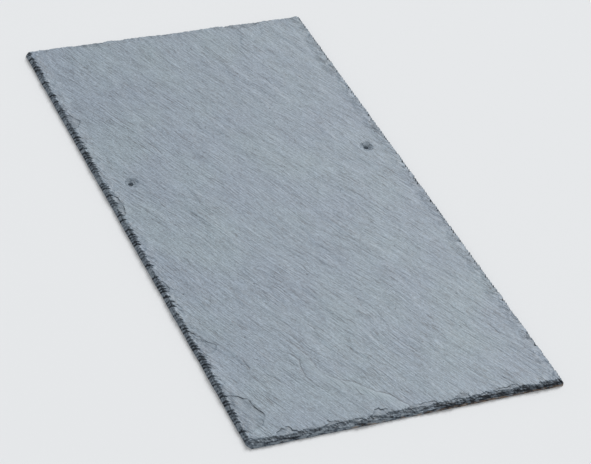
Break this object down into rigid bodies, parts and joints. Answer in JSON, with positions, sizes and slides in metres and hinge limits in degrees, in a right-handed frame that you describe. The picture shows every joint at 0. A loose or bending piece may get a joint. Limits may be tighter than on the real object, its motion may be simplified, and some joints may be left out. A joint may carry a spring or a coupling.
{
  "type": "slate roof tile",
  "caption": "Rectangular split slate for a double-lap roof, with dressed edges that lean in to the face and two punched nail holes.",
  "frame": {"origin": "middle of the bed, the flat underside of the slate", "axes": "+X across the slate, +Y up the roof from the tail to the head, +Z out of the weathered face"},
  "size_m": [0.3, 0.6, 0.0055],
  "materials": {
    "slate": "riven, matt with a faint sheen, darker where the edges are broken"
  },
  "bodies": {
    "root": {"slate": "slate"}
  },
  "joints": []
}
